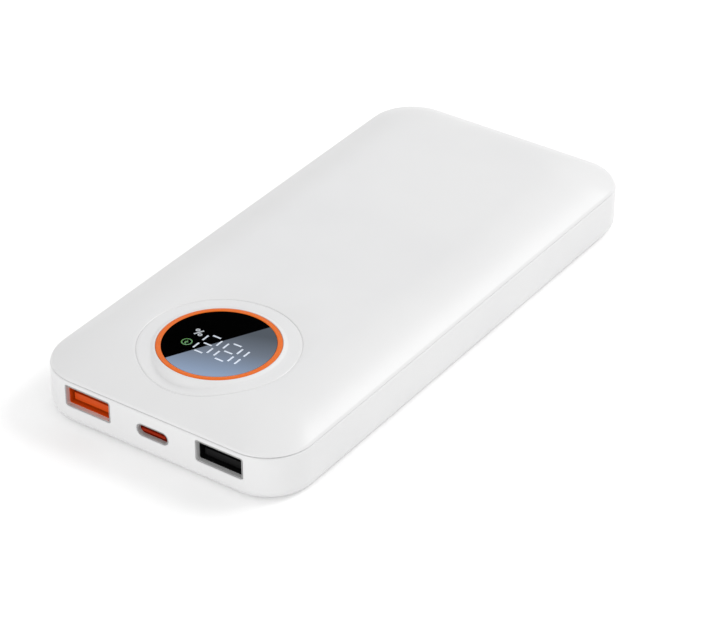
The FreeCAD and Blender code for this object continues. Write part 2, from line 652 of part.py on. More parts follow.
def socket_shell(label, x, level, width, height, depth, corner, sheet_size):
    """The folded sheet-metal tube around one socket, open at its mouth."""
    body = new_body(label)
    outline = new_sketch(body, "section", "XZ_Plane", f"-{SOCKET_FACE}")
    add_rounded(outline, x, level, width, height, corner)
    add_rounded(outline, x, level, f"{width} - 2 * {sheet_size}", f"{height} - 2 * {sheet_size}",
                f"{corner} - {sheet_size}")
    extrude(body, outline, depth, against=True)


def usb_a_socket(kind, x):
    """A USB-A receptacle: shell, and an insulator that lines it and carries a tongue with four contacts."""
    name = f"usb_a_{kind}"
    socket_shell(name + "_shell", x, "usb_a_level", "usb_a_width", "usb_a_height", "usb_a_depth",
                 "usb_a_corner", "shell_sheet")
    back = f"({SOCKET_FACE} + usb_a_depth)"
    tongue_length = "(usb_a_depth - usb_a_tongue_start)"
    tongue_under = "(usb_a_level - usb_a_height / 2 + shell_sheet + usb_a_tongue_gap)"
    tongue_top = f"({tongue_under} + usb_a_tongue_thickness)"
    contact_length = f"({tongue_length} - usb_a_contact_setback)"
    contact_places = [f"{x} + {offset}" for offset in USB_A_CONTACTS]

    body = new_body(name + "_insulator")
    block = new_sketch(body, "block", "XZ_Plane", f"-{back}")
    width, height = ("(usb_a_width - 2 * shell_sheet - 2 * insulator_play)",
                     "(usb_a_height - 2 * shell_sheet - 2 * insulator_play)")
    add_rounded(block, x, "usb_a_level", width, height, "usb_a_corner - shell_sheet")
    extrude(body, block, "usb_a_block")
    lining = new_sketch(body, "lining", "XZ_Plane", f"-{back}")
    add_rounded(lining, x, "usb_a_level", width, height, "usb_a_corner - shell_sheet")
    add_rounded(lining, x, "usb_a_level", f"{width} - 2 * usb_a_lining_sheet",
                f"{height} - 2 * usb_a_lining_sheet", "usb_a_corner - shell_sheet - usb_a_lining_sheet")
    extrude(body, lining, "usb_a_depth - usb_a_lining_start")
    tongue = new_sketch(body, "tongue", "XZ_Plane", f"-{back}")
    add_rounded(tongue, x, f"{tongue_under} + usb_a_tongue_thickness / 2", "usb_a_tongue_width",
                "usb_a_tongue_thickness", "usb_a_tongue_corner")
    extrude(body, tongue, tongue_length)
    grooves = new_sketch(body, "grooves", "XZ_Plane", f"-{back}")
    for place in contact_places:
        add_rectangle(grooves, place, tongue_top, "usb_a_contact_width", "contact_sheet")
    extrude(body, grooves, contact_length, removes=True)

    contacts = []
    for index, place in enumerate(contact_places):
        contacts.append(box(f"{name}_blade_{index}", place, f"{back} - {contact_length} / 2",
                            f"{tongue_top} - contact_sheet / 2", "usb_a_contact_width", contact_length,
                            "contact_sheet"))
        contacts.append(box(f"{name}_leg_{index}", place, f"{back} + contact_sheet / 2", "board_top",
                            "usb_a_contact_width", "contact_sheet",
                            f"{tongue_top} + contact_sheet / 2 - board_top"))
    node(name + "_contacts", fuse(name + "_contacts", contacts))


def usb_c_socket():
    socket_shell("usb_c_shell", 0, "usb_c_level", "usb_c_width", "usb_c_height", "usb_c_depth",
                 "(usb_c_height / 2 - sliver)", "usb_c_sheet")
    back = f"({SOCKET_FACE} + usb_c_depth)"
    body = new_body("usb_c_insulator")
    block = new_sketch(body, "block", "XZ_Plane", f"-{back}")
    width = "(usb_c_width - 2 * usb_c_sheet - 2 * insulator_play)"
    height = "(usb_c_height - 2 * usb_c_sheet - 2 * insulator_play)"
    add_rounded(block, 0, "usb_c_level", width, height, f"{height} / 2 - sliver")
    extrude(body, block, "usb_c_block")
    lining = new_sketch(body, "lining", "XZ_Plane", f"-{back}")
    add_rounded(lining, 0, "usb_c_level", width, height, f"{height} / 2 - sliver")
    add_rounded(lining, 0, "usb_c_level", f"{width} - 2 * usb_c_lining_sheet",
                f"{height} - 2 * usb_c_lining_sheet", f"{height} / 2 - sliver - usb_c_lining_sheet")
    extrude(body, lining, "usb_c_depth - usb_c_lining_start")
    tongue = new_sketch(body, "tongue", "XZ_Plane", f"-{back}")
    add_rounded(tongue, 0, "usb_c_level", "usb_c_tongue_width", "usb_c_tongue_thickness",
                "usb_c_tongue_corner")
    extrude(body, tongue, "usb_c_depth - usb_c_tongue_start")
    contacts = []
    length = "(usb_c_depth - usb_c_tongue_start - usb_c_block - usb_c_contact_setback)"
    middle = f"{back} - usb_c_block - {length} / 2"
    for row, level in enumerate(("usb_c_level + usb_c_tongue_thickness / 2",
                                 "usb_c_level - usb_c_tongue_thickness / 2 - usb_c_contact_sheet")):
        for index in range(USB_C_CONTACTS):
            x = f"({index} - {(USB_C_CONTACTS - 1) / 2}) * usb_c_contact_pitch"
            contacts.append(box(f"usb_c_contact_{row}_{index}", x, middle, level, "usb_c_contact_width",
                                length, "usb_c_contact_sheet"))
    node("usb_c_contacts", fuse("usb_c_contacts", contacts))


# ---- Button and switch --------------------------------------------------------------------


def make_button():
    body = new_body("button_cap")
    face = "(case_width / 2 - button_inset)"
    flange = "(case_width / 2 - case_wall - button_flange_gap)"
    cap = new_sketch(body, "cap", "YZ_Plane", f"-{flange}")
    add_rounded(cap, DISPLAY_Y, "button_level", "button_length", "button_height",
                "button_height / 2 - sliver")
    extrude(body, cap, f"{face} - {flange}", against=True)
    plate = new_sketch(body, "flange", "YZ_Plane", f"-{flange}")
    add_rounded(plate, DISPLAY_Y, "button_level", "button_flange_length", "button_flange_height",
                "button_flange_corner")
    extrude(body, plate, "button_flange_sheet")
    stem = new_sketch(body, "stem", "YZ_Plane", f"-{flange}")
    add_rectangle(stem, DISPLAY_Y, "button_level", "stem_length", "stem_height")
    extrude(body, stem, f"{flange} - switch_front - plunger_out - button_flange_gap")
    outer = -value(face)
    dress(body, "Fillet", "edge", "button_dish",
          edges_where(body, lambda b: b.XLength < 1e-6 and abs(b.XMin - outer) < 1e-6))


def make_switch():
    front = "(-switch_front)"
    middle = f"({front} + switch_depth / 2)"
    base = "(button_level - switch_height / 2)"
    body = box("switch_block", middle, DISPLAY_Y, base, "switch_depth", "switch_length", "switch_height")
    hollow_depth = "(plunger_in + dome_room)"
    hollow = box("switch_hollow", f"{front} + {hollow_depth} / 2", DISPLAY_Y,
                 "button_level - plunger_height / 2 - plunger_play", hollow_depth,
                 "plunger_length + 2 * plunger_play", "plunger_height + 2 * plunger_play")
    node("switch_body", cut("switch_body", body, [hollow]))
    reach = "(plunger_out + plunger_in)"
    plunger = box("switch_plunger", f"{front} - plunger_out + {reach} / 2", DISPLAY_Y,
                  "button_level - plunger_height / 2", reach, "plunger_length", "plunger_height")
    node("switch_plunger", plunger)
    dome = cylinder("snap_dome", f"{front} + {hollow_depth} - dome_sheet", DISPLAY_Y, "button_level",
                    "dome_radius", "dome_sheet", Rotation(Vector(0, 1, 0), 90))
    node("snap_dome", dome)
    lid = box("switch_lid", middle, DISPLAY_Y, f"{base} + switch_height", "switch_depth",
              "switch_length + 2 * switch_frame_sheet", "switch_frame_sheet")
    legs = [box(f"switch_leg_{side + 1}", middle,
                f"{DISPLAY_Y} + {side} * (switch_length + switch_frame_sheet) / 2", "board_top",
                "switch_depth * 0.5", "switch_frame_sheet", "switch_height") for side in (1, -1)]
    node("switch_frame", fuse("switch_frame", [lid] + legs))


# ---- Main board ---------------------------------------------------------------------------


def make_main_board():
    body = new_body("main_board")
    outline = new_sketch(body, "outline", "XY_Plane", BOARD_UNDER)
    add_rectangle(outline, 0, f"{BOARD_FRONT} + board_length / 2", "board_width", "board_length")
    for x, y in BOARD_POSTS:
        add_circle(outline, x, y, "board_hole")
    extrude(body, outline, "board_sheet")
    front = value(BOARD_FRONT)
    side = value("board_width / 2")
    corners = edges_where(body, lambda b: b.ZLength > 1 and b.YMax < front + 1e-4
                          and abs(abs(b.XMax) - side) < 1e-4)
    dress(body, "Fillet", "corners", "board_corner", corners)


def chips(label, places, size):
    """A group of equal packages on the main board, at distances behind its front edge."""
    pieces = [box(f"{label}_{index}", x, f"{BOARD_FRONT} + {y}", "board_top", *size)
              for index, (x, y) in enumerate(places)]
    node(label, fuse(label, pieces) if len(pieces) > 1 else pieces[0])


def make_components():
    chips("charge_controller", [("14", "24")], (5, 5, 0.9))
    chips("protocol_chip", [("2", "17")], (4, 4, 0.8))
    chips("temperature_sensor", [("5", "38.5")], (1.6, 0.8, 0.6))
    chips("power_transistors", [("22", "19.5"), ("22", "26.5"), ("5", "26.5"), ("-1", "26.5")],
          (4.9, 5.9, 1))
    chips("ceramic_capacitors", [(str(x), "31.5") for x in (6, 9, 12, 15, 18, 21)], (1.6, 3.2, 1.4))
    cans = [cylinder(f"can_{index}", x, f"{BOARD_FRONT} + 28.5", "board_top", "can_radius",
                     "can_height")
            for index, x in enumerate((-22, -14.5, -7))]
    node("polymer_capacitors", fuse("polymer_capacitors", cans))
    body = new_body("boost_inductor")
    core = new_sketch(body, "core", "XY_Plane", "board_top")
    add_rounded(core, -16, f"{BOARD_FRONT} + 19", "core_side", "core_side", "core_edge")
    extrude(body, core, "core_height")


# ---- Cells --------------------------------------------------------------------------------


def make_cell(label, base):
    """A pouch cell: a soft-edged block with a thin sealed ledge at its front end."""
    body = new_body(label)
    block = new_sketch(body, "block", "XY_Plane", base)
    add_rounded(block, 0, CELL_Y, "cell_width", "cell_length", "cell_corner")
    extrude(body, block, "cell_thickness")
    low, high = value(base), value(f"{base} + cell_thickness")
    dress(body, "Fillet", "soft", "cell_fillet",
          edges_where(body, lambda b: b.ZLength < 1e-6
                      and (abs(b.ZMax - low) < 1e-6 or abs(b.ZMax - high) < 1e-6)))
    terrace = new_sketch(body, "terrace", "XY_Plane", f"{base} + (cell_thickness - terrace_sheet) / 2")
    add_rectangle(terrace, 0, "cell_front - terrace_length / 2 + 0.5", "terrace_width", "terrace_length + 1")
    extrude(body, terrace, "terrace_sheet")


def make_tabs_and_strips():
    tab_root = "(-cell_front + terrace_length)"
    length = f"(tab_end - {tab_root})"
    levels = [f"({base} + (cell_thickness - tab_sheet) / 2)" for base in (LOWER_CELL, UPPER_CELL)]
    tabs = [box(f"tab_{side + 1}_{row}", f"{side} * tab_offset", f"-{tab_root} - {length} / 2", level,
                "tab_width", length, "tab_sheet") for side in (1, -1) for row, level in enumerate(levels)]
    node("cell_tabs", fuse("cell_tabs", tabs))
    for label, side in (("positive_strip", 1), ("negative_strip", -1)):
        x = f"{side} * tab_offset"
        riser = box(label + "_riser", x, "-tab_end - strip_sheet / 2", f"{levels[0]} - strip_overlap",
                    "tab_width", "strip_sheet",
                    f"{levels[1]} - {levels[0]} + tab_sheet + 2 * strip_overlap")
        foot = box(label + "_foot", x, "-tab_end - strip_foot / 2", "board_top", "tab_width", "strip_foot",
                   "strip_sheet")
        node(label, fuse(label, [riser, foot]))


def make_pads():
    node("lower_cell_pad", box("lower_cell_pad", 0, CELL_Y, "floor_thickness", "cell_width - 2 * pad_margin",
                               "cell_length - 2 * pad_margin", "pad_sheet"))
    node("middle_cell_pad", box("middle_cell_pad", 0, CELL_Y, "floor_thickness + pad_sheet + cell_thickness",
                                "cell_width - 2 * pad_margin", "cell_length - 2 * pad_margin", "pad_sheet"))
    foam_base = "(floor_thickness + 2 * pad_sheet + 2 * cell_thickness)"
    node("foam_pad", box("foam_pad", 0, CELL_Y, foam_base, "foam_width", "foam_length",
                         f"{COVER_UNDER} - {foam_base}"))
    strip_top = f"({UPPER_CELL} + (cell_thickness + tab_sheet) / 2 + strip_overlap)"
    node("insulating_sheet", box("insulating_sheet", 0, "-tab_end + 2", strip_top, "terrace_width",
                                 "sheet_length", "sheet_thickness"))


def build():
    fill_sheet()
    make_top_cover()
    make_bottom_shell()
    make_display_ring()
    make_display_lens()
    make_windows()
    make_light_wells()
    make_display_lights()
    make_display_board()
    make_header()
    make_screws()
    usb_a_socket("fast", "(-socket_spacing)")
    usb_c_socket()
    usb_a_socket("standard", "socket_spacing")
    make_button()
    make_switch()
    make_main_board()
    make_components()
    make_cell("lower_cell", LOWER_CELL)
    make_cell("upper_cell", UPPER_CELL)
    make_tabs_and_strips()
    make_pads()
    doc.recompute()


def check():
    """Stops before anything is written if an object failed or a shape is empty or broken."""
    for thing in doc.Objects:
        if "Invalid" in thing.State or "Error" in thing.State:
            raise RuntimeError(f"{thing.Name} failed: {thing.State}")
    for thing in NODES:
        if thing.Shape.isNull() or not thing.Shape.isValid() or not thing.Shape.Solids:
            raise RuntimeError(f"{thing.Label} has no valid solid")


def export():
    os.makedirs("parts", exist_ok=True)
    for thing in NODES:
        thing.Shape.exportStep(f"parts/{thing.Label}.step")


build()
check()
export()
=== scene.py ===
import itertools
import json
import math

import bmesh
import bpy
from mathutils import Matrix, Vector, geometry


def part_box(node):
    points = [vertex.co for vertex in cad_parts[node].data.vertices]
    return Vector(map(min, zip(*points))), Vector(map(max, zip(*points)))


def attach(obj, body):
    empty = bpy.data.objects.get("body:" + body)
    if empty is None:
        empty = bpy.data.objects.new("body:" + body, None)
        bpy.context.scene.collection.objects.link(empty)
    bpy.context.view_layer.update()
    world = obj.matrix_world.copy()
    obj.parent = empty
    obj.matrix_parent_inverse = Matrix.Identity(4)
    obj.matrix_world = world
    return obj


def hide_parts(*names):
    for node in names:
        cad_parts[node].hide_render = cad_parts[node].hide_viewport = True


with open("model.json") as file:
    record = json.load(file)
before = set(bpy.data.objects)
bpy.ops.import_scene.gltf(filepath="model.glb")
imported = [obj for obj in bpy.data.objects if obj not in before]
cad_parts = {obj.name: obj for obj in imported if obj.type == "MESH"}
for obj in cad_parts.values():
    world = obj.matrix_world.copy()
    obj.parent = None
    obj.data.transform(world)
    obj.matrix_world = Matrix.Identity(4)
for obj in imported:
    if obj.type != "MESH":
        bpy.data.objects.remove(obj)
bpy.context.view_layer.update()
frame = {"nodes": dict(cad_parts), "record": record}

# A white power bank in a bright studio. The shape code counts in millimetres, in the frame of the
# CAD: origin at the centre of the underside, sockets towards -Y, +Z up. The studio code counts in
# metres unless it says otherwise.

MM = 0.001
SHARP = math.radians(40)


def box_mm(node):
    low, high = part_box(node)
    return [c / MM for c in low], [c / MM for c in high]


SHELL_HIGH = box_mm("bottom_shell")[1]
RING_LOW, RING_HIGH = box_mm("display_ring")
LENS_LOW, LENS_HIGH = box_mm("display_lens")
HALF_X, HALF_Y = SHELL_HIGH[0], SHELL_HIGH[1]
PARTING = SHELL_HIGH[2]
DISPLAY_Y = (RING_LOW[1] + RING_HIGH[1]) / 2
RING_TOP = RING_HIGH[2]
RING_OUTER = RING_HIGH[0]

# Plan of the case: a rectangle whose corners have the radius CORNER.
CORNER = 12.0
CORE_X, CORE_Y = HALF_X - CORNER, HALF_Y - CORNER
BEND_STEPS = 18

# Crown of the cover: an arc from the flat top down to the side, over the distance CROWN_RUN.
RING_PROUD = 0.5
FLAT_TOP = RING_TOP - RING_PROUD
CROWN_RUN = 14.8
CROWN_LEAN = math.radians(37.3)
CROWN_CORNER = 8.0
CROWN_RADIUS = CROWN_RUN / math.sin(CROWN_LEAN)

COVER_WALL = 1.7
SHELL_WALL = 2.0

# The seam is the gap between the cover's base and the shell's rim.
COVER_BASE = PARTING + 0.04
SHELL_RIM = PARTING - 0.11


# ---- Mesh building --------------------------------------------------------------------------


def add(name, data):
    thing = bpy.data.objects.new(name, data)
    bpy.context.scene.collection.objects.link(thing)
    return thing


class Mesh:
    """Points in millimetres and faces, collected loop by loop."""

    def __init__(self):
        self.points = []
        self.faces = []

    def loop(self, points):
        first = len(self.points)
        self.points.extend(points)
        return list(range(first, len(self.points)))

    def bridge(self, one, two, skip=()):
        """Quads between two closed loops of the same length, except in the columns of skip."""
        count = len(one)
        for column in range(count):
            if column not in skip:
                after = (column + 1) % count
                self.faces.append((one[column], one[after], two[after], two[column]))

    def lathe(self, profile, centre, steps):
        """A turned ring about a vertical axis: profile is a closed run of (radius, height)."""
        rings = []
        for radius, height in profile:
            turns = [2 * math.pi * k / steps for k in range(steps)]
            rings.append(self.loop([(centre[0] + radius * math.cos(turn),
                                     centre[1] + radius * math.sin(turn), height)
                                    for turn in turns]))
        for one, two in zip(rings, rings[1:] + rings[:1]):
            self.bridge(one, two)

    def block(self, low, high, edge):
        """A box with chamfered edges, closed."""
        corners = {}
        picks = list(itertools.product((0, 1), repeat=3))
        for pick in picks:
            base = [high[a] if pick[a] else low[a] for a in range(3)]
            for axis in range(3):
                moved = [base[a] if a == axis else base[a] + (-edge if pick[a] else edge)
                         for a in range(3)]
                corners[pick, axis] = len(self.points)
                self.points.append(tuple(moved))
        for axis in range(3):
            one, two = [a for a in range(3) if a != axis]
            for side in (0, 1):
                ring = []
                for u, v in ((0, 0), (1, 0), (1, 1), (0, 1)):
                    pick = [0, 0, 0]
                    pick[axis], pick[one], pick[two] = side, u, v
                    ring.append(corners[tuple(pick), axis])
                self.faces.append(tuple(ring))
            for u in (0, 1):
                for v in (0, 1):
                    ends = []
                    for side in (0, 1):
                        pick = [0, 0, 0]
                        pick[axis], pick[one], pick[two] = side, u, v
                        ends.append((corners[tuple(pick), one], corners[tuple(pick), two]))
                    self.faces.append((ends[0][0], ends[0][1], ends[1][1], ends[1][0]))
        for pick in picks:
            self.faces.append(tuple(corners[pick, axis] for axis in range(3)))

    def finish(self, name, material, nodes, weighted=False):
        """The mesh as an object that rides on the case and stands for CAD nodes."""
        mesh = bpy.data.meshes.new(name)
        mesh.from_pydata([tuple(c * MM for c in point) for point in self.points], [], self.faces)
        work = bmesh.new()
        work.from_mesh(mesh)
        loose = [v for v in work.verts if not v.link_faces]
        bmesh.ops.delete(work, geom=loose, context="VERTS")
        bmesh.ops.recalc_face_normals(work, faces=work.faces)
        work.to_mesh(mesh)
        work.free()
        mesh.shade_smooth()
        mesh.set_sharp_from_angle(angle=SHARP)
        mesh.materials.append(material)
        piece = add(name, mesh)
        if weighted:
            piece.modifiers.new("weighted_normals", "WEIGHTED_NORMAL").keep_sharp = True
        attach(piece, "case")
        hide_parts(*nodes)


def arc(radius, start, end, steps):
    """Offsets (across, up) along a circular arc, angles in degrees from the across axis."""
    angles = [math.radians(start + (end - start) * k / steps) for k in range(steps + 1)]
    return [(radius * math.cos(a), radius * math.sin(a)) for a in angles]


def smooth(t):
    t = min(max(t, 0.0), 1.0)
    return t * t * (3 - 2 * t)


# ---- Outline of the case --------------------------------------------------------------------


def stations(front, side, splits=()):
    """Feet and outward directions of the outline's normals, anticlockwise from the front left."""
    result = []

    def straight(start, end, count, fixed, axis, outward):
        for k in range(count):
            along = start + (end - start) * k / count
            foot = (along, fixed) if axis == 0 else (fixed, along)
            result.append((*foot, *outward))

    def bend(cx, cy, start):
        for k in range(BEND_STEPS):
            angle = math.radians(start + 90 * k / BEND_STEPS)
            result.append((cx, cy, math.cos(angle), math.sin(angle)))

    straight(-CORE_X, CORE_X, front, -CORE_Y, 0, (0, -1))
    bend(CORE_X, -CORE_Y, -90)
    straight(-CORE_Y, CORE_Y, side, CORE_X, 1, (1, 0))
    bend(CORE_X, CORE_Y, 0)
    straight(CORE_X, -CORE_X, front, CORE_Y, 0, (0, 1))
    bend(-CORE_X, CORE_Y, 90)
    stops = [CORE_Y, *splits, -CORE_Y]
    for start, end in zip(stops, stops[1:]):
        count = max(2, round(side * (start - end) / (2 * CORE_Y)))
        straight(start, end, count, -CORE_X, 1, (-1, 0))
    bend(-CORE_X, -CORE_Y, 180)
    return result


def inset_at(x, y):
    """How far inside the case's outline the crown's contour through (x, y) lies."""
    x, y = abs(x), abs(y)
    straight = min(HALF_X - x, HALF_Y - y)
    shrink = (CORNER - CROWN_CORNER) / CROWN_RUN
    move = 1 - shrink
    a, b = x - CORE_X, y - CORE_Y
    if a + move * straight <= 0 or b + move * straight <= 0:
        return straight
    second = 2 * move * move - shrink * shrink
    first = 2 * (move * (a + b) + CORNER * shrink)
    rest = a * a + b * b - CORNER * CORNER
    return (-first + math.sqrt(max(first * first - 4 * second * rest, 0.0))) / (2 * second)


def crown_height(inset):
    away = max(CROWN_RUN - inset, 0.0)
    return FLAT_TOP - CROWN_RADIUS + math.sqrt(CROWN_RADIUS * CROWN_RADIUS - away * away)


# ---- Top cover ------------------------------------------------------------------------------

LIP_OUTER, LIP_INNER, LIP_DEPTH = 2.1, 3.1, 1.8
LIP_NOTCH = 28.0                # the lip is cut away this far either side, over the sockets

# Radii about the display, and heights of its seat in the cover.
WELL = RING_OUTER + 0.05
THROAT = 14.0
BOSS = 16.2
LEDGE = RING_TOP - 1.1
BOSS_UNDER = RING_TOP - 3.1
CREST = RING_TOP - 0.06
CREST_ROLL = 0.1
COLLAR_STEPS = 12
CREASE_RADIUS = 19.2
CREASE_HALF, CREASE_SHOULDER = 0.26, 0.18
CREASE_DEPTH, CREASE_DIP = 0.22, 0.03

EDGE_ROLL = 2.0                 # radius between the crown and the side
EDGE_STEPS = 6

DISPLAY_POSTS, POST_BORE, POST_RADIUS = 19.5, 1.05, 2.2
POST_CHAMFER = 0.1
TURN_STEPS = 32

SNAP_PLACES = (-1.5, -0.5, 0.5, 1.5)    # along each long side, in steps of SNAP_STEP
SNAP_STEP = 30
SNAP_HALF = (0.5, 3)
SNAP_HEIGHTS = (PARTING - 1.5, PARTING - 0.8)
SNAP_EDGE = 0.12


class Ray:
    """A straight line on the plan from the display's centre to the outline."""

    def __init__(self, station):
        foot_x, foot_y, out_x, out_y = station
        x, y = foot_x + CORNER * out_x, foot_y + CORNER * out_y - DISPLAY_Y
        self.length = math.hypot(x, y)
        self.dx, self.dy = x / self.length, y / self.length
        self.notched = abs(foot_x + CORNER * out_x) < LIP_NOTCH and y < 0
        self.low = crown_height(self.inset(CREASE_RADIUS))

    def place(self, radius, height):
        return (radius * self.dx, DISPLAY_Y + radius * self.dy, height)

    def inset(self, radius):
        return inset_at(radius * self.dx, DISPLAY_Y + radius * self.dy)

    def reach(self, inset):
        """Radius at which the ray crosses the contour with that inset."""
        near, far = CREASE_RADIUS / 2, self.length
        for _ in range(46):
            middle = (near + far) / 2
            if self.inset(middle) > inset:
                near = middle
            else:
                far = middle
        return (near + far) / 2

    def spread(self, start, end, count):
        """Radii from start to end, closer together where the cover is crowned."""
        samples = 160
        total, sums = 0.0, [0.0]
        for k in range(samples):
            radius = start + (end - start) * (k + 0.5) / samples
            total += 1 + 8 * (1 - smooth((self.inset(radius) - CROWN_RUN + 1) / 4))
            sums.append(total)
        radii, k = [], 0
        for step in range(count + 1):
            goal = total * step / count
            while k < samples - 1 and sums[k + 1] < goal:
                k += 1
            share = (goal - sums[k]) / (sums[k + 1] - sums[k])
            radii.append(start + (end - start) * (k + share) / samples)
        return radii


def cover_section(ray):
    """The closed section of the cover along one ray, from the display well outwards and back."""
    # the display's seat and the crest round it
    start = WELL + CREST_ROLL
    points = [(THROAT, BOSS_UNDER), (THROAT, LEDGE), (WELL, LEDGE), (WELL, CREST - 0.12),
              (WELL + 0.03, CREST - 0.04), (start, CREST)]
    # the collar, which slopes more gently where the crown lies lower
    rise = CREST - ray.low
    width = 0.95 + 0.5 * rise
    for k in range(1, COLLAR_STEPS + 1):
        points.append((start + width * k / COLLAR_STEPS, CREST - rise * smooth(k / COLLAR_STEPS)))
    foot = start + width
    before, after = CREASE_RADIUS - CREASE_HALF, CREASE_RADIUS + CREASE_HALF
    for share in (0.4, 0.8):
        points.append((foot + (before - foot) * share, ray.low))
    # the crease
    beyond = crown_height(ray.inset(after))
    points += [(before, ray.low),
               (CREASE_RADIUS - CREASE_SHOULDER, ray.low - CREASE_DIP),
               (CREASE_RADIUS, ray.low - CREASE_DEPTH),
               (CREASE_RADIUS + CREASE_SHOULDER, beyond - CREASE_DIP),
               (after, beyond)]
    # the crown and the roll down to the seam
    lean = math.pi / 2 - CROWN_LEAN
    roll_foot = crown_height(0) - EDGE_ROLL * math.tan(lean / 2)
    roll_inset = EDGE_ROLL * (1 - math.cos(lean))
    radii = ray.spread(after, ray.reach(roll_inset), 32)
    points += [(radius, crown_height(ray.inset(radius))) for radius in radii[1:]]
    across = ray.length - ray.reach(1.0)
    stop = math.asin((COVER_BASE + 0.05 - roll_foot) / EDGE_ROLL)
    for out, up in arc(EDGE_ROLL, math.degrees(lean), math.degrees(stop), EDGE_STEPS)[1:]:
        points.append((ray.length - (EDGE_ROLL - out) * across, roll_foot + up))
    edge = EDGE_ROLL * (1 - math.cos(stop))
    for inset, height in ((edge + 0.04, COVER_BASE + 0.015), (edge + 0.15, COVER_BASE)):
        points.append((ray.length - inset * across, height))
    # the lip inside the shell and the underside
    tip = COVER_BASE - 0.05 if ray.notched else PARTING - LIP_DEPTH
    outer, inner = ray.reach(LIP_OUTER), ray.reach(LIP_INNER)
    points += [(outer, COVER_BASE), (outer, tip), (inner, tip), (inner, COVER_BASE + 0.02)]
    under = FLAT_TOP - COVER_WALL
    lean_under = 2 * math.atan((under - PARTING) / (CROWN_RUN - LIP_INNER))
    radius_under = (CROWN_RUN - LIP_INNER) / math.sin(lean_under)
    for radius in reversed(ray.spread(BOSS, inner, 14)[:-1]):
        away = max(CROWN_RUN - ray.inset(radius), 0.0)
        points.append((radius, under - radius_under + math.sqrt(radius_under ** 2 - away ** 2)))
    points.append((BOSS, BOSS_UNDER))
    return points


def make_cover(material):
    mesh = Mesh()
    rays = [Ray(station) for station in stations(40, 86)]
    sections = [cover_section(ray) for ray in rays]
    loops = [mesh.loop([ray.place(*section[k]) for ray, section in zip(rays, sections)])
             for k in range(len(sections[0]))]
    for one, two in zip(loops, loops[1:] + loops[:1]):
        mesh.bridge(one, two)
    root = FLAT_TOP - COVER_WALL + 0.4
    seat = box_mm("display_board")[1][2]
    post = [(POST_BORE, seat), (POST_RADIUS - POST_CHAMFER, seat),
            (POST_RADIUS, seat + POST_CHAMFER), (POST_RADIUS, root), (POST_BORE, root)]
    for side in (1, -1):
        mesh.lathe(post, (side * DISPLAY_POSTS, DISPLAY_Y), TURN_STEPS)
        middle = side * (HALF_X - LIP_OUTER)
        for place in SNAP_PLACES:
            along = place * SNAP_STEP
            mesh.block((middle - SNAP_HALF[0], along - SNAP_HALF[1], SNAP_HEIGHTS[0]),
                       (middle + SNAP_HALF[0], along + SNAP_HALF[1], SNAP_HEIGHTS[1]), SNAP_EDGE)
    mesh.finish("cover", material, ["top_cover"])


# ---- Bottom shell ---------------------------------------------------------------------------

BASE_ROLL = 3.0
FLOOR = 1.6
FLOOR_ROLL = 0.8
FLOOR_CENTRE = 7.0              # inset of the flat faces in the middle of the floor
MOUTH_ROLL = 0.15
MOUTH_STEPS = 4
MOUTH_CLEAR = 0.45              # between a mouth's roll and the wall's own grid
WALL_LEVELS = (3.0, 4.7, 6.4, 8.1, 9.8, 11.5)
WALL_GRID = 0.9
NEAR = 1e-6

SOCKET_PLAY, SOCKET_CORNER = 0.1, 0.7
BUTTON_OPENING = (4.65, 1.55, 1.54)     # half length, half height and corner radius
BUTTON_PANEL = 8                # the wall panel round the button reaches this far either side

BOARD_POSTS = list(itertools.product((28.5, -28.5), (12.5 - HALF_Y, 39 - HALF_Y)))
BOARD_POST_RADIUS, BOARD_POST_TOP = 2.4, 4.0
FENCE_TOP = 3.8
FENCES = (((-25, -32.1), (25, -31.1)), ((-25, 66.2), (25, 67.2)),
          ((29.2, -17.3), (30.2, 56.3)), ((-30.2, -17.3), (-29.2, 56.3)))
FENCE_EDGE = 0.15
SUNK = 0.2                      # how far posts and fences reach into the floor


def rounded_loop(cu, cv, half_u, half_v, radius, grow=0.0):
    """A rounded rectangle as (u, v) points, with the same count for any growth."""
    points = []
    du, dv = half_u - radius, half_v - radius
    centres = ((du, -dv, -90), (du, dv, 0), (-du, dv, 90), (-du, -dv, 180))
    for index, (a, b, start) in enumerate(centres):
        for k in range(9):
            angle = math.radians(start + 90 * k / 8)
            points.append((cu + a + (radius + grow) * math.cos(angle),
                           cv + b + (radius + grow) * math.sin(angle)))
        na, nb, _ = centres[(index + 1) % 4]
        count = max(1, round(math.hypot(na - a, nb - b)))
        turn = math.radians(start + 90)
        for k in range(1, count):
            share = k / count
            points.append((cu + a + (na - a) * share + (radius + grow) * math.cos(turn),
                           cv + b + (nb - b) * share + (radius + grow) * math.sin(turn)))
    return points


class Wall:
    """One face of the shell seen square on: u along it and v up, with its openings."""

    def __init__(self, axis, holes):
        self.axis, self.holes = axis, holes

    def depth(self, u, inset):
        """Distance from the middle plane to the wall's surface at u."""
        if self.axis == 1:
            return HALF_X - inset
        over = max(abs(u) - CORE_X, 0.0)
        radius = CORNER - inset
        return CORE_Y + math.sqrt(radius * radius - over * over)

    def place(self, u, v, distance):
        return (u, -distance, v) if self.axis == 0 else (-distance, u, v)

    def inside_hole(self, u, v, margin):
        for cu, cv, half_u, half_v, radius in self.holes:
            du = max(abs(u - cu) - (half_u - radius), 0.0)
            dv = max(abs(v - cv) - (half_v - radius), 0.0)
            if math.hypot(du, dv) < radius + margin:
                return True
        return False


def opening(node, radius=math.inf):
    """The opening that leaves SOCKET_PLAY round a node, seen from the front."""
    low, high = box_mm(node)
    half_v = (high[2] - low[2]) / 2 + SOCKET_PLAY
    half_u = (high[0] - low[0]) / 2 + SOCKET_PLAY
    return ((low[0] + high[0]) / 2, (low[2] + high[2]) / 2, half_u, half_v,
            min(radius, half_v - 0.01))


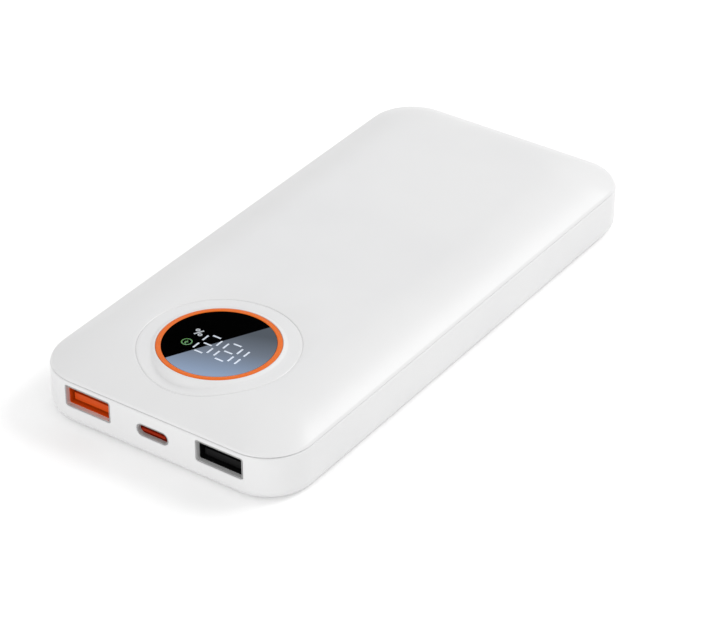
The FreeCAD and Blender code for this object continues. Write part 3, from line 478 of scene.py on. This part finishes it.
def make_walls():
    """The wall with the sockets, the wall with the button, and where the latter's panel ends."""
    front = Wall(0, [opening("usb_a_fast_shell", SOCKET_CORNER), opening("usb_c_shell"),
                     opening("usb_a_standard_shell", SOCKET_CORNER)])
    low, high = box_mm("button_cap")
    middle = (low[1] + high[1]) / 2
    level = (low[2] + high[2]) / 2
    side = Wall(1, [(middle, level, *BUTTON_OPENING)])
    return front, side, (middle - BUTTON_PANEL, middle + BUTTON_PANEL)


def fill_wall(mesh, wall, border, inset):
    """Triangles over a wall's face between its border and its openings. Returns the mouths."""
    coords, keys, edges = [], [], []

    def add(loop):
        first = len(coords)
        for index, u, v in loop:
            coords.append(Vector((u, v)))
            keys.append(index)
        edges.extend((first + k, first + (k + 1) % len(loop)) for k in range(len(loop)))

    add(border)
    mouths = []
    for hole in wall.holes:
        outline = rounded_loop(*hole, grow=MOUTH_ROLL)
        indices = mesh.loop([wall.place(u, v, wall.depth(u, inset)) for u, v in outline])
        add([(index, u, v) for index, (u, v) in zip(indices, outline)])
        mouths.append(indices)
    low_u, high_u = min(u for _, u, _ in border), max(u for _, u, _ in border)
    low_v, high_v = min(v for _, _, v in border), max(v for _, _, v in border)
    columns, rows = int((high_u - low_u) / WALL_GRID), int((high_v - low_v) / WALL_GRID)
    for i in range(1, columns):
        for j in range(1, rows):
            u = low_u + (high_u - low_u) * i / columns
            v = low_v + (high_v - low_v) * j / rows
            if not wall.inside_hole(u, v, MOUTH_ROLL + MOUTH_CLEAR):
                coords.append(Vector((u, v)))
                keys.append(mesh.loop([wall.place(u, v, wall.depth(u, inset))])[0])
    points, _, faces, origins, _, _ = geometry.delaunay_2d_cdt(coords, edges, [], 0, 1e-7)
    for face in faces:
        u = sum(points[k].x for k in face) / len(face)
        v = sum(points[k].y for k in face) / len(face)
        if not wall.inside_hole(u, v, MOUTH_ROLL * 0.98):
            mesh.faces.append(tuple(keys[origins[k][0]] for k in face))
    return mouths


def make_shell(material):
    mesh = Mesh()
    front, side, (panel_start, panel_end) = make_walls()
    feet = stations(24, 30, (panel_end, panel_start))
    count = len(feet)
    rim = SHELL_RIM
    # profiles as (inset, height): the outer face upwards, then the inner face downwards
    outer_profile = [(FLOOR_CENTRE, 0.0), (BASE_ROLL + 0.4, 0.0)]
    outer_profile += [(BASE_ROLL - out, BASE_ROLL + up) for out, up in arc(BASE_ROLL, -90, 0, 9)]
    outer_profile += [(0.0, level) for level in WALL_LEVELS[1:]]
    outer_profile += [(0.0, rim - 0.44), (0.04, rim - 0.27), (0.13, rim - 0.13),
                      (0.27, rim - 0.03), (0.42, rim)]
    inner_profile = [(SHELL_WALL - 0.15, rim), (SHELL_WALL - 0.04, rim - 0.04),
                     (SHELL_WALL, rim - 0.15)]
    inner_profile += [(SHELL_WALL, level) for level in reversed(WALL_LEVELS)]
    inner_profile += [(SHELL_WALL + FLOOR_ROLL - out, FLOOR + FLOOR_ROLL + up)
                      for out, up in arc(FLOOR_ROLL, 0, -90, 4)]
    inner_profile += [(FLOOR_CENTRE, FLOOR)]

    def ring(inset, height):
        return mesh.loop([(fx + (CORNER - inset) * nx, fy + (CORNER - inset) * ny, height)
                          for fx, fy, nx, ny in feet])

    # the columns of the two panels that hold the openings
    in_front = [abs(fx + CORNER * nx) < CORE_X + CORNER / 2 - NEAR and fy < 0 and ny < -0.5
                for fx, fy, nx, ny in feet]
    first = next(k for k in range(count) if in_front[k] and not in_front[k - 1])
    front_columns = [(first - 1) % count, first]
    while in_front[front_columns[-1]]:
        front_columns.append((front_columns[-1] + 1) % count)
    side_columns = [k for k in range(count) if feet[k][2] == -1 and feet[k][3] == 0
                    and panel_start - NEAR <= feet[k][1] <= panel_end + NEAR]
    panelled = {*front_columns[:-1], *side_columns[:-1]}

    for profile, inset in ((outer_profile, 0.0), (inner_profile, SHELL_WALL)):
        loops = [ring(*item) for item in profile]
        wall_rows = [k for k, (i, h) in enumerate(profile) if abs(i - inset) < NEAR and
                     any(abs(h - level) < NEAR for level in WALL_LEVELS)]
        for k, (one, two) in enumerate(zip(loops, loops[1:])):
            mesh.bridge(one, two, panelled if k in wall_rows and k + 1 in wall_rows else ())
        mesh.faces.append(tuple(loops[0] if inset == 0 else loops[-1]))
        rows = sorted(wall_rows, key=lambda k: profile[k][1])
        for wall, columns in ((front, front_columns), (side, side_columns)):
            border = [(rows[0], c) for c in columns]
            border += [(r, columns[-1]) for r in rows[1:-1]]
            border += [(rows[-1], c) for c in reversed(columns)]
            border += [(r, columns[0]) for r in reversed(rows[1:-1])]
            loop = []
            for r, c in border:
                index = loops[r][c]
                point = mesh.points[index]
                loop.append((index, point[0] if wall.axis == 0 else point[1], point[2]))
            mouths = fill_wall(mesh, wall, loop, inset)
            if inset == 0:
                wall.outer_mouths = mouths
            else:
                for hole, outer, inner in zip(wall.holes, wall.outer_mouths, mouths):
                    line_mouth(mesh, wall, hole, outer, inner)
        if inset == 0:
            outer_last = loops[-1]
        else:
            mesh.bridge(outer_last, loops[0])

    foot = FLOOR - SUNK
    post = [(POST_BORE, foot), (BOARD_POST_RADIUS, foot),
            (BOARD_POST_RADIUS, BOARD_POST_TOP - POST_CHAMFER),
            (BOARD_POST_RADIUS - POST_CHAMFER, BOARD_POST_TOP), (POST_BORE, BOARD_POST_TOP)]
    for place in BOARD_POSTS:
        mesh.lathe(post, place, TURN_STEPS)
    for low, high in FENCES:
        mesh.block((*low, foot), (*high, FENCE_TOP), FENCE_EDGE)
    mesh.finish("shell", material, ["bottom_shell"], weighted=True)


def line_mouth(mesh, wall, hole, outer, inner):
    """The rolled edges and the bore of one opening, from the outer face to the inner."""
    offsets = arc(MOUTH_ROLL, 90, 0, MOUTH_STEPS)[1:]
    loops = [outer]
    for inset, side, turn in ((0, -1, offsets), (SHELL_WALL, 1, offsets[::-1])):
        for out, down in turn:
            outline = rounded_loop(*hole, grow=MOUTH_ROLL - out)
            loops.append(mesh.loop([
                wall.place(u, v, wall.depth(u, inset) + side * (MOUTH_ROLL - down))
                for u, v in outline]))
    loops.append(inner)
    for one, two in zip(loops, loops[1:]):
        mesh.bridge(one, two)


# ---- Display ring ---------------------------------------------------------------------------

RING_INNER, RING_SKIRT, RING_LIP = 13.42, 13.95, 12.4
ROLL_OUT, ROLL_IN = 0.28, 0.2
RING_STEPS = 240


def make_ring(material):
    under = LENS_LOW[2] - 0.05
    base, flange = RING_LOW[2], LEDGE + 0.02
    profile = [(RING_LIP, base), (RING_SKIRT, base), (RING_SKIRT, flange), (RING_OUTER, flange)]
    profile += [(RING_OUTER - ROLL_OUT + out, RING_TOP - ROLL_OUT + up)
                for out, up in arc(ROLL_OUT, 0, 90, 6)]
    profile += [(RING_INNER + ROLL_IN + out, RING_TOP - ROLL_IN + up)
                for out, up in arc(ROLL_IN, 90, 180, 5)]
    profile += [(RING_INNER, under), (RING_LIP, under)]
    mesh = Mesh()
    mesh.lathe(profile, (0, DISPLAY_Y), RING_STEPS)
    mesh.finish("trim_ring", material, ["display_ring"])


# ---- Materials ------------------------------------------------------------------------------


def surface(name, colour, other, rough, grain, bump, patch=30.0, metallic=0.0, coat=0.0, ior=1.46,
            glow=None, sheen=0.0):
    """A procedural surface: two close colours in soft patches, uneven gloss and a fine grain.

    rough is the range of the roughness, grain and patch are noise scales, bump is in millimetres,
    and glow is a colour and its strength.
    """
    material = bpy.data.materials.new(name)
    material.use_nodes = True
    nodes, links = material.node_tree.nodes, material.node_tree.links
    shader = nodes["Principled BSDF"]
    where = nodes.new("ShaderNodeTexCoord")

    def noise(scale, detail):
        node = nodes.new("ShaderNodeTexNoise")
        node.inputs["Scale"].default_value = scale
        node.inputs["Detail"].default_value = detail
        links.new(where.outputs["Object"], node.inputs["Vector"])
        return node.outputs["Fac"]

    ramp = nodes.new("ShaderNodeValToRGB")
    for element, position, shade in zip(ramp.color_ramp.elements, (0.35, 0.65), (colour, other)):
        element.position = position
        element.color = (*shade, 1)
    links.new(noise(patch, 3.0), ramp.inputs["Fac"])
    links.new(ramp.outputs["Color"], shader.inputs["Base Color"])
    fine = noise(grain, 4.0)
    gloss = nodes.new("ShaderNodeMapRange")
    gloss.inputs["To Min"].default_value, gloss.inputs["To Max"].default_value = rough
    links.new(fine, gloss.inputs["Value"])
    links.new(gloss.outputs["Result"], shader.inputs["Roughness"])
    relief = nodes.new("ShaderNodeBump")
    relief.inputs["Strength"].default_value = 0.4
    relief.inputs["Distance"].default_value = bump * MM
    links.new(fine, relief.inputs["Height"])
    links.new(relief.outputs["Normal"], shader.inputs["Normal"])
    shader.inputs["Metallic"].default_value = metallic
    shader.inputs["IOR"].default_value = ior
    shader.inputs["Coat Weight"].default_value = coat
    shader.inputs["Coat Roughness"].default_value = 0.03
    shader.inputs["Sheen Weight"].default_value = sheen
    if glow:
        shader.inputs["Emission Color"].default_value = (*glow[0], 1)
        shader.inputs["Emission Strength"].default_value = glow[1]
    return material


# Colour, second colour, range of roughness, grain scale, bump and the other options.
FINISHES = {
    "white_case": ((0.665, 0.665, 0.668), (0.685, 0.685, 0.686), (0.34, 0.42), 2600, 0.006, {}),
    "white_button": ((0.655, 0.655, 0.658), (0.675, 0.675, 0.676), (0.34, 0.42), 2600, 0.006, {}),
    "orange_trim": ((0.68, 0.122, 0.003), (0.71, 0.132, 0.004), (0.3, 0.38), 2600, 0.004,
                    {"ior": 1.32}),
    "display_black": ((0.0004, 0.0004, 0.0005), (0.0007, 0.0007, 0.0008), (0.0, 0.008), 40, 0.00002,
                      {"ior": 1.5}),
    "digit_light": ((0.38, 0.40, 0.43), (0.44, 0.46, 0.50), (0.05, 0.09), 900, 0.001,
                    {"glow": ((0.86, 0.92, 1.0), 0.18)}),
    "icon_grey": ((0.30, 0.31, 0.32), (0.36, 0.37, 0.38), (0.05, 0.09), 900, 0.001,
                  {"glow": ((0.8, 0.85, 0.9), 0.12)}),
    "icon_green": ((0.05, 0.15, 0.02), (0.06, 0.18, 0.03), (0.05, 0.09), 900, 0.001,
                   {"glow": ((0.3, 0.8, 0.1), 0.06)}),
    "white_inner": ((0.72, 0.72, 0.70), (0.76, 0.76, 0.74), (0.5, 0.6), 1800, 0.01, {}),
    "led": ((0.80, 0.70, 0.30), (0.85, 0.78, 0.42), (0.3, 0.4), 1500, 0.004, {"coat": 0.3}),
    "board_green": ((0.012, 0.11, 0.045), (0.018, 0.15, 0.065), (0.26, 0.36), 700, 0.02,
                    {"patch": 260, "coat": 0.4}),
    "screw_steel": ((0.46, 0.46, 0.48), (0.56, 0.56, 0.58), (0.25, 0.38), 3000, 0.01,
                    {"metallic": 1.0}),
    "gold_contact": ((0.80, 0.55, 0.20), (0.90, 0.66, 0.28), (0.18, 0.28), 2500, 0.003,
                     {"metallic": 1.0}),
    "black_plastic": ((0.003, 0.003, 0.0032), (0.0045, 0.0045, 0.0047), (0.38, 0.5), 2200, 0.006,
                      {"ior": 1.23}),
    "socket_shell": ((0.69, 0.69, 0.69), (0.75, 0.75, 0.75), (0.42, 0.52), 1600, 0.004,
                     {"metallic": 0.4, "patch": 200}),
    "orange_insulator": ((0.58, 0.064, 0.0012), (0.62, 0.072, 0.0016), (0.4, 0.5), 2200, 0.005,
                         {"ior": 1.34}),
    # Painted shade: a darker copy of orange_insulator for the shaded tongue of the USB-C socket.
    "orange_insulator_painted_shade": ((0.23, 0.011, 0.0008), (0.26, 0.014, 0.001), (0.45, 0.55), 2200, 0.005,
                    {"ior": 1.12}),
    "nickel": ((0.60, 0.58, 0.54), (0.68, 0.66, 0.62), (0.2, 0.32), 1500, 0.004, {"metallic": 1.0}),
    "chip_black": ((0.018, 0.018, 0.02), (0.03, 0.03, 0.033), (0.5, 0.62), 2600, 0.01, {}),
    "ceramic_tan": ((0.38, 0.24, 0.13), (0.46, 0.31, 0.18), (0.4, 0.5), 1500, 0.01, {}),
    "capacitor_can": ((0.70, 0.70, 0.72), (0.78, 0.78, 0.80), (0.16, 0.28), 900, 0.006,
                      {"metallic": 1.0}),
    "ferrite_grey": ((0.07, 0.07, 0.073), (0.11, 0.11, 0.115), (0.6, 0.75), 1400, 0.03, {}),
    "pouch_foil": ((0.55, 0.56, 0.58), (0.64, 0.65, 0.67), (0.25, 0.4), 320, 0.08,
                   {"metallic": 1.0, "patch": 90}),
    "adhesive_pad": ((0.66, 0.63, 0.54), (0.74, 0.72, 0.64), (0.6, 0.75), 900, 0.03, {}),
    "foam": ((0.04, 0.04, 0.042), (0.07, 0.07, 0.073), (0.85, 0.95), 1800, 0.12, {"sheen": 0.2}),
    "insulating_paper": ((0.52, 0.60, 0.48), (0.62, 0.68, 0.56), (0.6, 0.75), 1200, 0.02, {}),
}

MATERIALS = {name: surface(name, *values, **options)
             for name, (*values, options) in FINISHES.items()}


# Painted shade: the faces of the stamped shells that face the front, their edges among them, are
# darkened in place of the shade inside the wall's openings. The shade is full below the first of
# these values of the normal's Y, and gone above the second.
FRONT_PAINTED_SHADE = 0.45
FRONT_SHADE_FACING = (-0.9, -0.4)


# Painted shade: scales the base colour down where the normal points towards the front.
def paint_front_facing_shade(material):
    nodes, links = material.node_tree.nodes, material.node_tree.links
    facing = nodes.new("ShaderNodeSeparateXYZ")
    links.new(nodes["Texture Coordinate"].outputs["Normal"], facing.inputs["Vector"])
    amount = nodes.new("ShaderNodeMapRange")
    amount.inputs["From Min"].default_value, amount.inputs["From Max"].default_value = FRONT_SHADE_FACING
    amount.inputs["To Min"].default_value = FRONT_PAINTED_SHADE
    links.new(facing.outputs["Y"], amount.inputs["Value"])
    shaded = nodes.new("ShaderNodeVectorMath")
    shaded.operation = "SCALE"
    links.new(nodes["Color Ramp"].outputs["Color"], shaded.inputs["Vector"])
    links.new(amount.outputs["Result"], shaded.inputs["Scale"])
    links.new(shaded.outputs["Vector"], nodes["Principled BSDF"].inputs["Base Color"])


# Painted shade on the front-facing faces of the socket shells.
paint_front_facing_shade(MATERIALS["socket_shell"])

# Painted shade: CAD nodes that get a darker copy of their slot's material, in place of the shade
# deep in their socket.
PAINTED_SHADE_MATERIALS = {"usb_c_insulator": "orange_insulator_painted_shade"}

# Edge rounding, in millimetres, of the CAD nodes that show through the openings.
ROUNDED = {"usb_a_fast_shell": 0.08, "usb_a_fast_insulator": 0.12,
           "usb_a_standard_shell": 0.08, "usb_a_standard_insulator": 0.12,
           "usb_c_shell": 0.08, "usb_c_insulator": 0.08}


def dress_nodes():
    """Every CAD node gets its slot's material or its painted-shade copy, and those that show get
    rounded edges.
    """
    for entry in frame["record"]["subparts"]:
        thing = frame["nodes"][entry["node"]]
        material = MATERIALS[PAINTED_SHADE_MATERIALS.get(entry["node"], entry["material_slot"])]
        if thing.material_slots:
            for slot in thing.material_slots:
                slot.material = material
        else:
            thing.data.materials.append(material)
        if entry["node"] in ROUNDED:
            bevel = thing.modifiers.new("edges", "BEVEL")
            bevel.width = ROUNDED[entry["node"]] * MM
            bevel.segments = 2
            bevel.limit_method = "ANGLE"
            bevel.angle_limit = SHARP


# ---- Studio ---------------------------------------------------------------------------------

CAMERA_LENS = 142.16            # millimetres, on a sensor 36 mm wide
CAMERA_AROUND, CAMERA_ABOVE = 0.607, 0.587      # radians
CAMERA_DISTANCE = 0.68845
CAMERA_TARGET = Vector((3.693, -1.236, -1.494)) * MM


def aim(thing, direction):
    """Turn a camera, a light or a panel so that its -Z axis points along the direction."""
    thing.rotation_euler = direction.to_track_quat("-Z", "Y").to_euler()


def make_camera():
    data = bpy.data.cameras.new("camera")
    data.sensor_width = 36.0
    data.lens = CAMERA_LENS
    data.clip_end = 50.0
    camera = add("camera", data)
    back = Vector((math.cos(CAMERA_ABOVE) * math.sin(CAMERA_AROUND),
                   -math.cos(CAMERA_ABOVE) * math.cos(CAMERA_AROUND), math.sin(CAMERA_ABOVE)))
    camera.location = CAMERA_TARGET + back * CAMERA_DISTANCE
    aim(camera, -back)
    bpy.context.scene.camera = camera


def area_light(name, place, size, power):
    """A rectangular light in metres and watts that points at the origin."""
    data = bpy.data.lights.new(name, "AREA")
    data.shape = "RECTANGLE"
    data.size, data.size_y = size
    data.energy = power
    light = add(name, data)
    light.location = place
    aim(light, -Vector(place))
    light.visible_camera = False


def panel(name, low, high, level, material):
    """A flat rectangle between two corners, in metres."""
    (x0, y0), (x1, y1) = low, high
    mesh = bpy.data.meshes.new(name)
    corners = [(x0, y0, level), (x1, y0, level), (x1, y1, level), (x0, y1, level)]
    mesh.from_pydata(corners, [], [(0, 1, 2, 3)])
    mesh.materials.append(material)
    return add(name, mesh)


FLOOR_HALF = 4.0
FLOOR_LEVEL = -0.1 * MM         # just clear of the underside
FLAG_HALF = 0.25
FLAG_PLACE = (-0.54, -0.63, 0.67)


def make_floor():
    paper = surface("floor_paper", (0.88, 0.88, 0.88), (0.90, 0.90, 0.90), (0.8, 0.9), 900, 0.005,
                    glow=((1, 1, 1), 0.11))
    floor = panel("floor", (-FLOOR_HALF, -FLOOR_HALF), (FLOOR_HALF, FLOOR_HALF), FLOOR_LEVEL, paper)


def make_flag():
    """A dark flag above the front left that dims that side and shows in no reflection."""
    cloth = surface("flag_cloth", (0.01, 0.01, 0.01), (0.02, 0.02, 0.02), (0.9, 1.0), 100, 0.001)
    flag = panel("flag", (-FLAG_HALF, -FLAG_HALF), (FLAG_HALF, FLAG_HALF), 0, cloth)
    flag.location = FLAG_PLACE
    aim(flag, -flag.location)
    flag.visible_camera = False
    flag.visible_glossy = False


# The two cards that the lens reflects. Their own x runs along the edge between them, and these
# sizes are in millimetres.
CARD_DISTANCE = 1500
CARD_TILT = math.radians(-14.3)
CARD_HALF, CARD_REACH, CARD_EDGE = 80, 60, -1.1
SKY_ACROSS = (-0.415, 0.910, 0)         # direction in which the sky card brightens
SKY_RANGE = (-0.010, 0.030)             # metres
SKY_STOPS = ((0.0, (0.15, 0.175, 0.21)), (0.375, (0.28, 0.33, 0.415)), (0.85, (0.49, 0.64, 0.90)),
             (1.0, (0.53, 0.70, 1.0)))
SKY_STRENGTH = 8.0


def make_sky():
    """A sky that glows more along one direction."""
    material = bpy.data.materials.new("card_sky")
    material.use_nodes = True
    nodes, links = material.node_tree.nodes, material.node_tree.links
    nodes.remove(nodes["Principled BSDF"])
    where = nodes.new("ShaderNodeTexCoord")
    along = nodes.new("ShaderNodeVectorMath")
    along.operation = "DOT_PRODUCT"
    along.inputs[1].default_value = SKY_ACROSS
    links.new(where.outputs["Object"], along.inputs[0])
    place = nodes.new("ShaderNodeMapRange")
    place.inputs["From Min"].default_value, place.inputs["From Max"].default_value = SKY_RANGE
    links.new(along.outputs["Value"], place.inputs["Value"])
    ramp = nodes.new("ShaderNodeValToRGB")
    while len(ramp.color_ramp.elements) < len(SKY_STOPS):
        ramp.color_ramp.elements.new(0.5)
    for element, (position, colour) in zip(ramp.color_ramp.elements, SKY_STOPS):
        element.position = position
        element.color = (*colour, 1)
    links.new(place.outputs["Result"], ramp.inputs["Fac"])
    emit = nodes.new("ShaderNodeEmission")
    emit.inputs["Strength"].default_value = SKY_STRENGTH
    links.new(ramp.outputs["Color"], emit.inputs["Color"])
    links.new(emit.outputs["Emission"], nodes["Material Output"].inputs["Surface"])
    return material


def card(name, matrix, low, high, material):
    """A panel that only shows in reflections, with its corners in millimetres."""
    thing = panel(name, [c * MM for c in low], [c * MM for c in high], 0, material)
    thing.matrix_world = matrix
    for ray in ("camera", "diffuse", "shadow", "transmission", "volume_scatter"):
        setattr(thing, "visible_" + ray, False)


def make_reflection():
    """A sky-coloured card above a dark one: the straight edge between them shows in the lens."""
    lens = Vector((0, DISPLAY_Y, LENS_HIGH[2])) * MM
    ray = (lens - bpy.context.scene.camera.location).normalized()
    away = Vector((ray.x, ray.y, -ray.z))
    level = away.cross(Vector((0, 0, 1))).normalized()
    rise = level.cross(away)
    along = level * math.cos(CARD_TILT) + rise * math.sin(CARD_TILT)
    up = rise * math.cos(CARD_TILT) - level * math.sin(CARD_TILT)
    matrix = Matrix((along, up, -away)).transposed().to_4x4()
    matrix.translation = lens + away * CARD_DISTANCE * MM

    dark = surface("card_dark", (0.001, 0.001, 0.001), (0.002, 0.002, 0.002), (0.9, 1.0), 100,
                   0.001)
    dark.node_tree.nodes["Principled BSDF"].inputs["Specular IOR Level"].default_value = 0.0
    card("card_sky", matrix, (-CARD_HALF, CARD_EDGE), (CARD_HALF, CARD_REACH), make_sky())
    card("card_dark", matrix, (-CARD_HALF, -CARD_REACH), (CARD_HALF, CARD_EDGE), dark)


WORLD_STRENGTH = 0.865


def make_world():
    world = bpy.data.worlds.new("studio")
    world.use_nodes = True
    background = world.node_tree.nodes["Background"]
    background.inputs["Color"].default_value = (1, 1, 1, 1)
    background.inputs["Strength"].default_value = WORLD_STRENGTH
    bpy.context.scene.world = world
    bpy.context.scene.view_settings.view_transform = "Standard"


make_camera()
dress_nodes()
make_cover(MATERIALS["white_case"])
make_shell(MATERIALS["white_case"])
make_ring(MATERIALS["orange_trim"])
make_floor()
make_flag()
make_world()
area_light("key", (0.54, 0.72, 0.79), (0.5, 0.5), 5.3)
area_light("front_fill", (0.0, -1.15, 0.35), (0.8, 0.5), 4.15)
area_light("back_fill", (-0.1, 1.0, 0.6), (0.7, 0.4), 0.6)
make_reflection()
